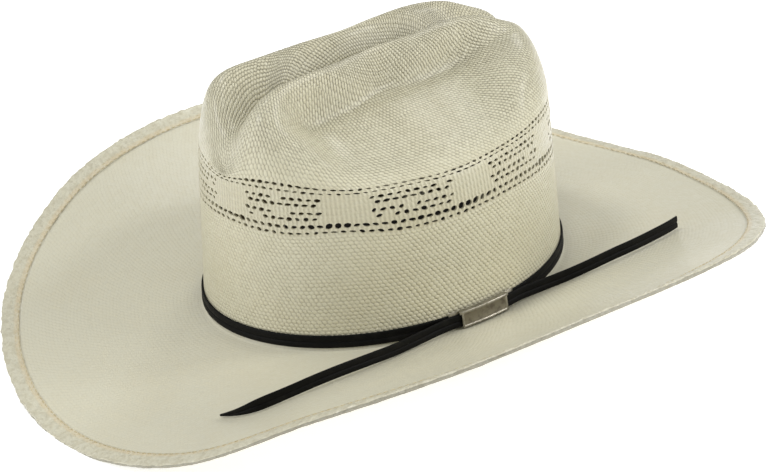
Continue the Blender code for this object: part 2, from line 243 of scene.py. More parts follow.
def crown_point(turn, height, share, out_by=0.0):
    """Points of the plain bowl, at a height, on the ring that has this share of the width."""
    toward_back = (1 - np.cos(turn)) / 2
    ends = FRONT_LEAN + (BACK_LEAN - FRONT_LEAN) * toward_back
    lean = ends + (SIDE_LEAN - ends) * np.sin(turn) ** 4
    edge, out = oval(turn)
    point = times(edge - times(out, lean * height / CROWN_HEIGHT), share)
    point[..., 1] -= (1 - share) * (1 - 2 * np.abs(turn) / math.pi) * CREASE_LENGTH / 2
    point[..., 2] = height
    return point + times(out, out_by)


def creased(point):
    """The crease along the top and the dents beside it, pressed into the plain bowl."""
    x, y, z = np.moveaxis(point, -1, 0)
    place = y / (CROWN_LENGTH / 2)
    depth, dent, spread, fall = (between(TOP_FORM, column, place) for column in (1, 2, 3, 4))
    crease = CREASE_DEPTH * depth * np.exp(-((x / spread / CREASE_HALF_WIDTH) ** 2))
    lowered = smooth_step(*CREASED_FROM, z / CROWN_HEIGHT) * (crease + TOP_FALL * fall)
    narrowing = np.sqrt((1 - place**2).clip(NARROWEST**2))
    half_width = (CROWN_WIDTH / 2 - SIDE_LEAN * SHOULDER_HEIGHT / CROWN_HEIGHT) * narrowing
    sine, cosine = math.sin(SHOULDER_SLOPE), math.cos(SHOULDER_SLOPE)
    above = (np.abs(x) - half_width) * sine + (z - SHOULDER_HEIGHT) * cosine
    above = (above + np.hypot(above, SHOULDER_ROUND)) / 2
    dent = dent * smooth_step(RIDGE_OUT, DENT_OUT, np.abs(x) / spread)
    pushed = above * dent * smooth_step(*DENTED_FROM, z / CROWN_HEIGHT)
    return vectors(x - np.copysign(pushed * sine, x), y, z - lowered - pushed * cosine)


def crown_at(turn, distance):
    """Points of the finished crown, this far along the bowl's section."""
    lengths, heights, shares = SECTION
    return creased(crown_point(turn, np.interp(distance, lengths, heights), np.interp(distance, lengths, shares)))


print("from brim to middle of the top:", round(SECTION_LENGTH, 3), "m")

# %% [markdown]
# ## Standing on its brim
#
# The hat stands on the front and the back edge of its brim. So the crown's own frame is tipped until both
# edges are level and moved over the middle of the floor. The straw gives way a little where it touches.

# %% From the crown's frame to the floor
def standing_place():
    front, back = (brim_point(np.array([turn]), 1.0, -STRAW_THICKNESS)[0] for turn in (0.0, math.pi))
    lean = math.atan2(back[2] - front[2], back[1] - front[1])
    tip = np.array(Matrix.Rotation(-lean, 3, "X"))
    turns = np.linspace(-math.pi, math.pi, 721)
    edge = np.concatenate([brim_point(turns, 1.0, lift) for lift in (HEM_FOLD, -STRAW_THICKNESS)]) @ tip.T
    middle = (edge.min(axis=0) + edge.max(axis=0)) / 2
    return tip, np.array((-middle[0], -middle[1], -(tip @ front)[2] - PRESSED_FLAT))


TIP, SHIFT = standing_place()


def on_floor(points):
    """Points of the crown's frame where they are once the hat stands, none below the floor."""
    placed = points @ TIP.T + SHIFT
    placed[..., 2] = placed[..., 2].clip(0)
    return placed


print("moved by", SHIFT.round(5).tolist())

# %% [markdown]
# ## A grid that can be woven
#
# Crown, brim, band and strap are all sheets. Each starts as a flat grid whose corners hold a column and a
# row, gets its cuts and extra edges while it is flat, and is then carried to its place by a formula. Crown
# and brim keep their column and row as a UV map, so that a weave follows the sheet wherever it bends.

# %% Helpers for sheets
hat = bpy.data.collections.new("western_hat_pieces")
bpy.context.scene.collection.children.link(hat)
SHARP = math.radians(50)


def flat_grid(columns, rows):
    """A grid of quads whose corners lie at (column, row, 0)."""
    form = bmesh.new()
    bmesh.ops.create_grid(form, x_segments=columns, y_segments=rows, size=0.5)
    for vert in form.verts:
        vert.co = (round((vert.co.x + 0.5) * columns), round((vert.co.y + 0.5) * rows), 0)
    return form


def split_columns(form, first_row, last_row, cuts):
    """Adds columns between the first and the last of these rows."""
    level_edges = [
        edge
        for edge in form.edges
        if edge.verts[0].co.y == edge.verts[1].co.y and first_row <= edge.verts[0].co.y <= last_row
    ]
    bmesh.ops.subdivide_edges(form, edges=level_edges, cuts=cuts)


def keep_weave(form, columns, row_of):
    """Writes each corner's share of the turn, and its row in the weave, to a UV map."""
    layer = form.loops.layers.uv.new("weave")
    for face in form.faces:
        for loop in face.loops:
            x, y, _ = loop.vert.co
            loop[layer].uv = (x / columns, row_of(y))


def carry(form, place_of):
    """Moves every corner to place_of(columns, rows), all at once."""
    flat = np.array([vert.co for vert in form.verts])
    for vert, point in zip(form.verts, place_of(flat[:, 0], flat[:, 1])):
        vert.co = point
    bmesh.ops.remove_doubles(form, verts=form.verts, dist=MERGED)


def new_piece(name, form, finish, nodes):
    """A finished piece of the hat: its mesh in the scene, riding on the hat's one body."""
    mesh = bpy.data.meshes.new(name)
    form.to_mesh(mesh)
    form.free()
    piece = bpy.data.objects.new(name, mesh)
    mesh.materials.append(finish)
    hat.objects.link(piece)
    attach(piece, "root")
    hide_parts(*nodes)
    return piece


def worked_in(piece):
    """Turns the piece's modifiers into mesh, and shades it smooth except at sharp edges."""
    graph = bpy.context.evaluated_depsgraph_get()
    mesh = bpy.data.meshes.new_from_object(piece.evaluated_get(graph))
    piece.modifiers.clear()
    piece.data = mesh
    mesh.shade_smooth()
    mesh.set_sharp_from_angle(angle=SHARP)
    print(piece.name, len(mesh.polygons), "faces")
    return piece


print("helpers ready")

# %% [markdown]
# ## Shader sums as Python
#
# A weave is arithmetic: which row, which kernel in the row, how far from its middle. Written as nodes that
# is hard to read, so one small class wraps a node's output. Its operators add Math nodes, and its add
# method makes any other node.

# %% Wires between shader nodes
class Wire:
    """One output of a shader node. Operators on it add Math nodes to the same tree."""

    def __init__(self, tree, output=None):
        self.tree = tree
        self.output = output

    def add(self, kind, settings=None, values=None):
        """A node of this kind: its settings first, then the values or wires of its sockets."""
        node = self.tree.nodes.new("ShaderNode" + kind)
        for name, value in (settings or {}).items():
            if name == "stops":
                ramp = node.color_ramp.elements
                while len(ramp) < len(value):
                    ramp.new(1.0)
                for stop, (place, colour) in zip(ramp, value):
                    stop.position, stop.color = place, (*colour, 1)
            else:
                setattr(node, name, value)
        for name, value in (values or {}).items():
            if isinstance(value, Wire):
                self.tree.links.new(value.output, node.inputs[name])
            else:
                node.inputs[name].default_value = value
        return Wire(self.tree, next((out for out in node.outputs if out.enabled), None))

    def __getitem__(self, name):
        return Wire(self.tree, self.output.node.outputs[name])

    def math(self, operation, *others, first=None):
        start = self if first is None else first
        values = dict(enumerate((start, *others)))
        return self.add("Math", {"operation": operation}, values)

    def __add__(self, other):
        return self.math("ADD", other)

    __radd__ = __add__

    def __sub__(self, other):
        return self.math("SUBTRACT", other)

    def __rsub__(self, other):
        return self.math("SUBTRACT", self, first=other)

    def __mul__(self, other):
        return self.math("MULTIPLY", other)

    __rmul__ = __mul__

    def __truediv__(self, other):
        return self.math("DIVIDE", other)

    def __pow__(self, other):
        return self.math("POWER", other)

    def floor(self):
        return self.math("FLOOR")

    def cos(self):
        return self.math("COSINE")

    def above(self, other):
        return self.math("GREATER_THAN", other)

    def least(self, other):
        return self.math("MINIMUM", other)

    def most(self, other):
        return self.math("MAXIMUM", other)

    def ramp(self, low, high):
        """0 below low, 1 above high, and smooth between them."""
        settings = {"interpolation_type": "SMOOTHSTEP"}
        return self.add("MapRange", settings, {"Value": self, "From Min": low, "From Max": high})


MIX_A, MIX_B, MIX_RESULT = 6, 7, 2


def mixed(factor, a, b, blend="MIX"):
    """Colour a turning into colour b as the factor goes from 0 to 1."""
    settings = {"data_type": "RGBA", "blend_type": blend}
    node = factor.add("Mix", settings, {0: factor, MIX_A: a, MIX_B: b})
    return Wire(factor.tree, node.output.node.outputs[MIX_RESULT])


def new_finish(name):
    """A material with an empty node tree, its output, and a wire to start from."""
    made = bpy.data.materials.new(name)
    made.use_nodes = True
    made.node_tree.nodes.clear()
    return made, Wire(made.node_tree)


def finish_with(start, values):
    """Ends a material in one Principled shader with these values."""
    shader = start.add("BsdfPrincipled", None, values)
    start.add("OutputMaterial", None, {"Surface": shader})


print("shader wires ready")

# %% [markdown]
# ## Straw
#
# Each kernel of this weave is a short, glossy bead of straw, about 2.5 mm wide and 1.7 mm high. A row of
# kernels runs round the hat and the next row is moved by half a kernel, like bricks. The brim's rows hold
# more and more kernels towards its edge, and the top's fewer and fewer. A shader can count both: the row
# is the whole part of the UV map's second number, and the kernel is the whole part of the share of the
# turn times the row's count. The relief of each bead goes through a Bump node, since half a million
# modelled beads would be too many faces.

# %% Straw
KERNEL_WIDTH, KERNEL_HEIGHT = 0.0025, 0.00195
ROUNDS = 8  # rows woven before their number of kernels changes
BEAD_REACH = (3.2, 8.0)  # how fast a bead falls off, sideways and over two rows
BRIM_TONES = (0.605, 0.585, 0.458, 1), (0.590, 0.555, 0.410, 1)
CROWN_TONES = (0.620, 0.592, 0.435, 1), (0.605, 0.560, 0.385, 1)
PAINTED_GAP_SHADE = (0.300, 0.265, 0.170, 1)
FOOT_ROUND = 0.598  # way round the crown's foot
# The brim's rim and underside are darkened in the colour: painted shade, for the shade that falls on them.
PAINTED_UNDER_SHADE_FROM, PAINTED_UNDER_SHADE_ROWS = 60, 8  # rows from which the brim's rim and underside are counted
KERNELS_ROUND = round(FOOT_ROUND / KERNEL_WIDTH)


def beads(start, growth, growth_from, slant):
    """Height of the woven beads, a chance for each bead, and the row they are in."""
    weave = start.add("SeparateXYZ", None, {"Vector": start.add("UVMap", {"uv_map": "weave"})})
    round_share, along = weave["X"], weave["Y"]
    wobble = start.add("TexNoise", None, {"Vector": start.add("TexCoord")["Object"], "Scale": 55.0, "Detail": 1.0})
    moved = along + (wobble - 0.5) * 0.5
    rounds = ((moved - growth_from) / ROUNDS).floor().most(0.0)
    count = (rounds * (growth * ROUNDS) + KERNELS_ROUND).floor()
    place = round_share * count + wobble * 1.1
    layers = []
    for shift in (0.0, 0.5):
        double_row = moved * 0.5 + shift
        pair = double_row.floor()
        upright = double_row - pair - 0.5
        across = place + upright * slant + shift
        bead = across.floor()
        sideways = across - bead - 0.5
        away = sideways * sideways * BEAD_REACH[0] + upright * upright * BEAD_REACH[1]
        cell = start.add("CombineXYZ", None, {"X": bead, "Y": pair, "Z": shift})
        chance = start.add("TexWhiteNoise", {"noise_dimensions": "3D"}, {"Vector": cell})["Value"]
        layers.append(((1 - away).most(0.0) ** 0.6, chance))
    (even, even_chance), (odd, odd_chance) = layers
    chance = even_chance + (odd_chance - even_chance) * odd.above(even)
    return even.most(odd), chance, round_share, along


def straw_finish(name, tones, growth, growth_from, relief, painted_gap_shading, gloss, slant, ribs=None, hem_from=None):
    """Straw whose gaps get this much painted shade, or two amounts of it below and above its ribs."""
    made, start = new_finish(name)
    place = start.add("TexCoord")["Object"]
    dome, chance, round_share, along = beads(start, growth, growth_from, slant)
    patches = start.add("TexNoise", None, {"Vector": place, "Scale": 22.0, "Detail": 3.0})
    strands = start.add("TexNoise", None, {"Vector": place, "Scale": 900.0, "Detail": 2.0})
    height = dome * (chance * 0.4 + 0.6) + strands * 0.15
    # The gaps between the beads are darkened in the colour: painted shade, as the Bump node casts none into them.
    shade = 1 - dome
    depth = shade ** 1.6 * painted_gap_shading[0]
    if ribs:
        low, high, number = ribs
        inside = along.ramp(low - 0.5, low + 0.5) * (1 - along.ramp(high - 0.5, high + 0.5))
        rib = (round_share * (number * 2 * math.pi)).cos() * 0.5 + 0.5
        height = height + inside * (rib * 0.35 + dome * 0.35 - height)
        top = along.ramp(high - 1, high + 8)
        height = height * (top * 0.45 + 0.55)
        # Painted shade: above the open-work the gaps get more of it than below, and in the open-work the grooves
        # between the ribs, and the whole band a little, get it too.
        depth = shade ** 1.6 * (top * (painted_gap_shading[1] - painted_gap_shading[0]) + painted_gap_shading[0])
        depth = depth + inside * ((1 - rib) * 0.30 + 0.10 - depth)
    colour = mixed(patches.ramp(0.42, 0.68) * 0.3 + chance * 0.35, *tones)
    if hem_from:
        hem = along.ramp(hem_from, hem_from + 0.6)
        crinkle = start.add("TexNoise", None, {"Vector": place, "Scale": 340.0, "Detail": 4.0})
        marks = crinkle.ramp(0.44, 0.62) * hem
        height = height + hem * (crinkle * 9.0 - height)
        colour = mixed(marks * 0.5, colour, (0.46, 0.425, 0.30, 1))
        seam = hem * (1 - along.ramp(hem_from + 1.3, hem_from + 2.3))
        colour = mixed(seam * (crinkle.ramp(0.3, 0.6) * 0.4 + 0.3), colour, (0.64, 0.54, 0.35, 1))
        # Painted shade on the brim's rim and underside.
        colour = mixed(along.ramp(PAINTED_UNDER_SHADE_FROM - 1, PAINTED_UNDER_SHADE_FROM + 1) * 0.75, colour, (0.235, 0.22, 0.165, 1))
    # Painted shade in the gaps, mixed into the straw's colour.
    colour = mixed(depth.least(1.0), colour, PAINTED_GAP_SHADE)
    bump = start.add("Bump", None, {"Height": height, "Strength": 1.0, "Distance": relief})
    finish_with(
        start,
        {
            "Base Color": colour,
            "Roughness": (chance * 0.22 + gloss).least(1.0),
            "Normal": bump,
            "Specular IOR Level": 0.5,
            "Coat Weight": 0.4,
            "Coat Roughness": 0.28,
        },
    )
    return made


print(KERNELS_ROUND, "kernels round the crown's foot")

# %% [markdown]
# ## The crown and its open-work
#
# The crown is one sheet from the brim to the crease, thickened inwards. Round its middle the weaver leaves
# holes: two unbroken rows above and two below, and between them nine panels of four rows. The holes are
# cut while the sheet is flat: extra columns are split in, the corner at each hole's middle is taken out,
# and the eight corners round it are moved onto an oval. No two holes on the real hat are quite alike, so
# each gets its own size and slant.

# %% Rows of the crown
VENT_EDGES = (
    # turn to either side, height of the lowest and of the highest row of holes as shares of the crown's
    (0.0, 0.484, 0.672),
    (30.0, 0.472, 0.674),
    (50.0, 0.479, 0.664),
    (70.0, 0.457, 0.680),
    (90.0, 0.452, 0.658),
    (110.0, 0.453, 0.666),
    (135.0, 0.430, 0.654),
    (180.0, 0.400, 0.630),
)
VENT_ROWS = (
    # place below the top row, width in pitches, height in mm, moved by half a pitch, first and last in panel
    (0.00, 0.72, 1.90, 0, 0, 14),
    (0.13, 0.68, 1.35, 1, 0, 14),
    (0.30, 0.70, 1.80, 0, 0, 9),
    (0.42, 0.74, 1.80, 1, 0, 8),
    (0.59, 0.68, 1.70, 0, 0, 9),
    (0.71, 0.74, 1.70, 1, 0, 8),
    (0.87, 0.76, 2.10, 0, 0, 14),
    (1.00, 0.72, 1.50, 1, 0, 14),
)
VENT_REPEATS, PANEL_PITCHES, PLAIN_FROM, PANEL_SHIFT = 9, 15, 10, 3
WHOLE_ROW = PANEL_PITCHES - 1
WIDER_IN_FRONT = 0.17  # how much wider a pitch is at the front than at the sides
VENT_MARGIN = 0.07
VENT_HALF_ROW = 0.024
VENT_SPAN = 0.026  # height of the open-work in metres, nearly the same all round
PITCHES = VENT_REPEATS * PANEL_PITCHES
CROWN_COLUMNS = 2 * PITCHES


def vent_stations():
    """Station of each row of holes: 1 at the open-work's lower edge, 2 at its upper edge."""
    return [1 + (VENT_MARGIN + 1 - row[0]) / (1 + 2 * VENT_MARGIN) for row in VENT_ROWS]


def crown_stations():
    """Station of every row of corners, from the brim up: each whole number starts a new stretch."""
    holes = [station + side for station in vent_stations() for side in (-VENT_HALF_ROW, 0, VENT_HALF_ROW)]
    return np.concatenate(
        [
            np.linspace(0, 1, 22, endpoint=False),
            [1.0],
            sorted(holes),
            [2.0],
            2 + np.linspace(0, 1, 14)[1:],
            3 + np.linspace(0, 0.68, 28)[1:],
            3 + np.linspace(0.68, 1, 27)[1:],
        ]
    )


STATIONS = crown_stations()


def distance_at(turn, station):
    """How far along the crown's section a station lies."""
    aside = np.abs(np.degrees(turn))
    low, high = (CROWN_HEIGHT * between(VENT_EDGES, column, aside) for column in (1, 2))
    spread = (high - low) * VENT_MARGIN
    ends = np.stack(
        np.broadcast_arrays(BRIM_ROOT, low - spread, high + spread, WALL_END, SECTION_LENGTH)
    )
    stretch = np.clip(np.floor(station).astype(int), 0, 3)
    start, end = (np.take_along_axis(ends, index[None], 0)[0] for index in (stretch, stretch + 1))
    return start + (end - start) * (station - stretch)


def kernel_rows():
    """Rows of the weave counted up the wearer's left side, at each station."""
    side = np.full(len(STATIONS), math.pi / 2)
    path = crown_at(side, distance_at(side, STATIONS))
    return np.concatenate([[0], np.cumsum(np.linalg.norm(np.diff(path, axis=0), axis=1))]) / KERNEL_HEIGHT


KERNEL_ROWS = kernel_rows()
print(len(STATIONS), "rows of corners,", round(KERNEL_ROWS[-1]), "rows of kernels")

# %% Crown
WALL_THICKNESS = 0.0012


def cut_vents(form):
    """Opens the holes in the flat sheet, whose corners lie at (column, row, 0)."""
    chances = np.random.default_rng(7)
    centre_rows = [int(np.abs(STATIONS - station).argmin()) for station in vent_stations()]
    split_columns(form, min(centre_rows) - 1, max(centre_rows) + 1, 1)
    corners = {(round(2 * vert.co.x), round(vert.co.y)): vert for vert in form.verts}
    for vert in form.verts:
        vert.co.y = STATIONS[round(vert.co.y)]
    whole_turn = 2 * CROWN_COLUMNS
    middles = []
    for centre_row, (_, width, height, moved, first, last) in zip(centre_rows, VENT_ROWS):
        for pitch in range(PITCHES):
            place = (pitch + PANEL_SHIFT) % PANEL_PITCHES
            wide, high, slant, keep = chances.uniform((0.70, 0.60, -0.2, 0), (1.12, 1.2, 0.2, 1))
            if not first <= place <= last or (last < WHOLE_ROW and keep < 0.05):
                continue
            larger = 1.25 if height > 2 and place >= PLAIN_FROM else 1.0
            half_wide = width * wide * math.sqrt(larger)
            half_high = height * high * larger / 2000 / VENT_SPAN
            middle = 4 * pitch + 1 + 2 * moved
            middles.append(corners[middle, centre_row])
            for side, rise in ((-1, -1), (0, -1), (1, -1), (-1, 0), (1, 0), (-1, 1), (0, 1), (1, 1)):
                bend = 0.74 if side and rise else 1.0
                step_x = side * half_wide * bend + rise * slant - side * 0.5
                step_y = rise * (half_high * bend - VENT_HALF_ROW)
                key = (middle + side) % whole_turn
                for twin in (key, key + whole_turn):
                    if (twin, centre_row + rise) in corners:
                        corners[twin, centre_row + rise].co += Vector((step_x, step_y, 0))
    bmesh.ops.delete(form, geom=middles, context="VERTS")
    return len(middles)


def turn_of(column, columns):
    """The turn of a column, with the first and the last one meeting at the back."""
    return 2 * math.pi * column / columns - math.pi


def crown_place(column, station):
    turn = turn_of(column, CROWN_COLUMNS)
    turn = turn + WIDER_IN_FRONT * np.sin(turn)
    return on_floor(crown_at(turn, distance_at(turn, station)))


def painted_shade_inside_finish():
    # The crown's inner side is dark brown straw: painted shade for the unlit inside of the crown, lighter towards
    # its front and darkest at its back.
    made, start = new_finish("straw_inside_painted_shade")
    front = start.add("SeparateXYZ", None, {"Vector": start.add("TexCoord")["Object"]})["Y"]
    colour = mixed(front.ramp(-0.03, 0.05), (0.20, 0.155, 0.085, 1), (0.05, 0.038, 0.02, 1))
    finish_with(start, {"Base Color": colour, "Roughness": 0.8})
    return made


TOP_STATION_ROW = float(np.interp(3.1, STATIONS, KERNEL_ROWS))
VENT_KERNELS = [float(np.interp(station, STATIONS, KERNEL_ROWS)) for station in (1.0, 2.0)]
crown_straw = straw_finish(
    "crown_straw",
    CROWN_TONES,
    growth=-2.8,
    growth_from=TOP_STATION_ROW,
    relief=0.0014,
    painted_gap_shading=(0.62, 0.66),
    gloss=0.28,
    slant=0.35,
    ribs=(*VENT_KERNELS, CROWN_COLUMNS),
)

form = flat_grid(CROWN_COLUMNS, len(STATIONS) - 1)
holes = cut_vents(form)
keep_weave(form, CROWN_COLUMNS, lambda station: np.interp(station, STATIONS, KERNEL_ROWS))
carry(form, crown_place)
crown = new_piece("straw_crown", form, crown_straw, ["straw_body"])
crown.data.materials.append(painted_shade_inside_finish())
wall = crown.modifiers.new("thickness", "SOLIDIFY")
wall.thickness, wall.offset, wall.use_quality_normals = WALL_THICKNESS, -1, True
# The inner shell takes the second material, the painted shade of the inside.
wall.material_offset = 1
worked_in(crown)
print(holes, "holes")

# %% [markdown]
# ## The brim and its folded edge
#
# The brim is the same straw, carried on outwards. At its edge it is folded over and stitched down, which
# leaves a raised, crinkled rim about 8.5 mm wide with a ragged outline. The section of brim and fold is a
# closed loop that goes out along the underside and comes back along the top. The fold needs a finer grid
# than the rest, so its rows get three more columns in each one.

# %% Brim
BRIM_COLUMNS, FOLD_CUTS = CROWN_COLUMNS, 3
FOLD_COLUMNS = BRIM_COLUMNS * (FOLD_CUTS + 1)
HEM_SHARE = HEM_WIDTH / BRIM_WIDTH
FOLD_SECTION = (
    # distance in from the edge in mm, height over the brim's upper side in mm, how ragged
    (0.3, -1.90, 0.4),
    (0.0, -1.50, 0.8),
    (-0.1, -0.60, 1.0),
    (0.0, 0.20, 1.0),
    (0.5, 0.60, 0.8),
    (1.6, 0.75, 0.6),
    (3.0, 0.80, 0.6),
    (4.4, 0.85, 0.6),
    (5.8, 0.85, 0.6),
    (7.2, 0.80, 0.5),
    (8.5, 0.60, 0.3),
    (9.2, 0.50, 0.2),
    (9.9, 0.60, 0.3),
    (10.6, 0.05, 0.1),
)
ROOT_ANGLES = np.radians([0.0, 30.0, 60.0, 90.0])
UNDER_SHARES = np.linspace(0.05, 0.97, 24)
UPPER_SHARES = np.linspace(1 - HEM_SHARE - 0.01, 0.03, 38)


def brim_section():
    """The section's rows, from the crown along the underside to the fold and back: (share, lift, root, ragged)."""
    rows = [(0.0, -STRAW_THICKNESS, angle, 0.0) for angle in ROOT_ANGLES]
    rows += [(share, -STRAW_THICKNESS, None, 0.0) for share in UNDER_SHARES]
    fold = [(1 - inward / 1000 / BRIM_WIDTH, lift / 1000, None, ragged) for inward, lift, ragged in FOLD_SECTION]
    first = len(rows)
    rows += fold
    last = len(rows) - 1
    rows += [(share, 0.0, None, 0.0) for share in UPPER_SHARES]
    rows += [(0.0, 0.0, angle, 0.0) for angle in ROOT_ANGLES[::-1]]
    return rows + rows[:1], first, last


BRIM_ROWS, FOLD_FIRST, FOLD_LAST = brim_section()


def crinkles(seed, spread):
    """Smooth chances for every row and fine column of the fold, about 1 in size."""
    field = np.random.default_rng(seed).normal(size=(len(BRIM_ROWS), FOLD_COLUMNS))
    for _ in range(spread):
        field = (np.roll(field, 1, 1) + 2 * field + np.roll(field, -1, 1)) / 4
    return field / field.std()


RAGGED_OUT, RAGGED_UP, WAVES = crinkles(11, 1), crinkles(12, 2), crinkles(13, 60)


def brim_place(column, row):
    points = np.zeros((len(column), 3))
    row = row.round().astype(int)
    fine = (column * (FOLD_CUTS + 1)).round().astype(int) % FOLD_COLUMNS
    for index, (share, lift, angle, ragged) in enumerate(BRIM_ROWS):
        here = row == index
        turn = turn_of(column[here], BRIM_COLUMNS)
        if angle is not None:
            points[here] = root_point(turn, angle, lift)
            continue
        places = index, fine[here]
        out = ragged * (0.00022 * RAGGED_OUT[places] + 0.00018 * WAVES[0][fine[here]])
        lifted = ragged * 0.00016 * RAGGED_UP[places]
        points[here] = brim_point(turn, share + out / BRIM_WIDTH, lift + lifted)
    return on_floor(points)


BRIM_KERNEL_ROWS = BRIM_WIDTH / KERNEL_HEIGHT


def brim_weave_row(row):
    """Row of the weave, counted on past the edge for the rim and the underside, which get painted shade."""
    share, lift = BRIM_ROWS[round(row)][:2]
    return share * BRIM_KERNEL_ROWS + (PAINTED_UNDER_SHADE_ROWS if lift < -PRESSED_FLAT / 4 else 0)


EDGE_ROUND = 1.235  # way round the brim's edge
brim_straw = straw_finish(
    "brim_straw",
    BRIM_TONES,
    growth=(EDGE_ROUND / KERNEL_WIDTH - KERNELS_ROUND) / BRIM_KERNEL_ROWS,
    growth_from=0.0,
    relief=0.00018,
    painted_gap_shading=(0.17, 0.17),
    gloss=0.42,
    slant=0.35,
    hem_from=(1 - HEM_SHARE) * BRIM_KERNEL_ROWS,
)

form = flat_grid(BRIM_COLUMNS, len(BRIM_ROWS) - 1)
split_columns(form, FOLD_FIRST, FOLD_LAST, FOLD_CUTS)
keep_weave(form, BRIM_COLUMNS, brim_weave_row)
carry(form, brim_place)
bmesh.ops.recalc_face_normals(form, faces=form.faces)
brim = new_piece("straw_brim", form, brim_straw, ["straw_body"])
worked_in(brim)

# %% [markdown]
# ## The stitches of the fold
#
# Two lines of yellowish thread hold the fold down, one close to its inner edge and a fainter one beside
# it. A stitch is a short, fat bead of thread that sinks into the straw at both ends. One low ball of a
# few faces, stretched and turned to lie along the brim, does for each of them.

# %% Stitches
STITCH_LENGTH, STITCH_PITCH, THREAD_LIFT = 0.0030, 0.0037, 0.0006
STITCH_LINES = (
    # distance in from the brim's edge in mm, thickness of the thread in mm
    (9.2, 0.50),
    (7.4, 0.34),
)


def thread_finish():
    made, start = new_finish("fold_thread")
    place = start.add("TexCoord")["Object"]
    twist = start.add("TexNoise", None, {"Vector": place, "Scale": 2600.0, "Detail": 1.0})
    colour = mixed(twist.ramp(0.35, 0.65), (0.60, 0.53, 0.33, 1), (0.44, 0.36, 0.18, 1))
    bump = start.add("Bump", None, {"Height": twist, "Strength": 0.6, "Distance": 0.0002})
    finish_with(start, {"Base Color": colour, "Roughness": 0.7, "Normal": bump})
    return made


def make_stitches():
    form = bmesh.new()
    chances = np.random.default_rng(5)
    for inward, thick in STITCH_LINES:
        share = 1 - inward / 1000 / BRIM_WIDTH
        dense = np.linspace(-math.pi, math.pi, 4001)
        path = on_floor(brim_point(dense, share, THREAD_LIFT))
        along = np.concatenate([[0], np.cumsum(np.linalg.norm(np.diff(path, axis=0), axis=1))])
        number = int(along[-1] / STITCH_PITCH)
        turns = np.interp(np.arange(number) * along[-1] / number, along, dense)
        middle = on_floor(brim_point(turns, share, THREAD_LIFT))
        ahead = on_floor(brim_point(turns + 0.002, share, THREAD_LIFT)) - middle
        above = on_floor(brim_point(turns, share, THREAD_LIFT + 0.001)) - middle
        for centre, forward, square in zip(middle, ahead, above):
            forward, square = Vector(forward).normalized(), Vector(square).normalized()
            side = square.cross(forward)
            forward = (forward + side * chances.uniform(-0.12, 0.12)).normalized()
            side = square.cross(forward)
            length, width = STITCH_LENGTH * chances.uniform(0.85, 1.05), thick / 1000
            scaled = [forward * length / 2, side * width / 2, square * width / 2]
            matrix = Matrix.Translation(centre) @ Matrix(scaled).transposed().to_4x4()
            bmesh.ops.create_uvsphere(form, u_segments=6, v_segments=5, radius=1.0, matrix=matrix)
    return form


stitches = new_piece("fold_stitches", make_stitches(), thread_finish(), ["straw_body"])
worked_in(stitches)

# %% [markdown]
# ## The band and the strap
#
# Both are strips of thin black leather cloth, folded lengthwise, so each has soft edges and a shallow
# valley along its middle. A closed section, carried round the crown or along the strap's way, gives that
# directly. The strap stands on its edge, passes through the slide, and lies out over the brim at both ends.

# %% Sizes of band and strap
GAP = 0.0003
BAND_WIDTH, BAND_THICKNESS, BAND_FOOT = 0.007, 0.001, 0.0019
STRAP_THICKNESS, STRAP_LIFT, STRAP_STEPS = 0.001, 0.001, 12
WING_THICKNESS, SLIDE_THICKNESS = 0.0005, 0.0009
STRAP_OUT = GAP + BAND_THICKNESS + GAP + WING_THICKNESS + GAP
STRIP_SECTION = (
    # height as a share of the strip's width, distance out as a share of its thickness
    (0.03, 0.00),
    (0.00, 0.25),
    (0.00, 0.65),
    (0.04, 0.92),
    (0.12, 1.00),
    (0.30, 0.98),
    (0.42, 0.86),
    (0.47, 0.50),
    (0.52, 0.86),
    (0.64, 0.98),
    (0.88, 1.00),
    (0.96, 0.92),
    (1.00, 0.65),
    (1.00, 0.25),
    (0.97, 0.00),
    (0.50, 0.00),
)
STRAP_ROUTE = (
    # turn, distance from the crown as a share of the brim's width, 1 where held at the band's height, width
    (25.0, 0.590, 0.0, 0.15),
    (29.0, 0.610, 0.0, 0.60),
    (33.0, 0.605, 0.0, 1.00),
    (38.0, 0.540, 0.0, 1.00),
    (43.0, 0.455, 0.0, 1.00),
    (49.0, 0.350, 0.0, 1.00),
    (56.0, 0.230, 0.1, 1.00),
    (64.0, 0.110, 0.4, 1.00),
    (71.0, 0.040, 0.8, 1.00),
    (78.0, 0.004, 1.0, 1.00),
    (84.0, 0.000, 1.0, 1.00),
    (92.0, 0.000, 1.0, 1.00),
    (100.0, 0.000, 1.0, 1.00),
    (106.0, 0.006, 1.0, 1.00),
    (112.0, 0.040, 0.8, 1.00),
    (117.0, 0.085, 0.5, 1.00),
    (123.0, 0.160, 0.2, 1.00),
    (130.0, 0.260, 0.0, 1.00),
    (137.0, 0.375, 0.0, 1.00),
    (145.0, 0.500, 0.0, 1.00),
    (148.2, 0.545, 0.0, 1.00),
)


def leather_finish():
    made, start = new_finish("black_leather")
    place = start.add("TexCoord")["Object"]
    grain = start.add("TexVoronoi", None, {"Vector": place, "Scale": 1500.0})
    creases = start.add("TexNoise", None, {"Vector": place, "Scale": 160.0, "Detail": 4.0, "Roughness": 0.6})
    worn = creases.ramp(0.45, 0.75)
    colour = mixed(worn, (0.0030, 0.0029, 0.0025, 1), (0.0085, 0.0080, 0.0065, 1))
    height = grain * 0.3 + creases
    bump = start.add("Bump", None, {"Height": height, "Strength": 0.7, "Distance": 0.0003})
    values = {"Base Color": colour, "Roughness": worn * 0.15 + 0.55, "Normal": bump, "Specular IOR Level": 0.1}
    finish_with(start, values)
    return made


def held_point(turn, height, out_by):
    """Points at a height beside the crown's wall, this far out from the straw."""
    share = (1 - (height / CROWN_HEIGHT) ** SQUARENESS) ** (1 / SQUARENESS)
    return crown_point(turn, height, share, out_by)


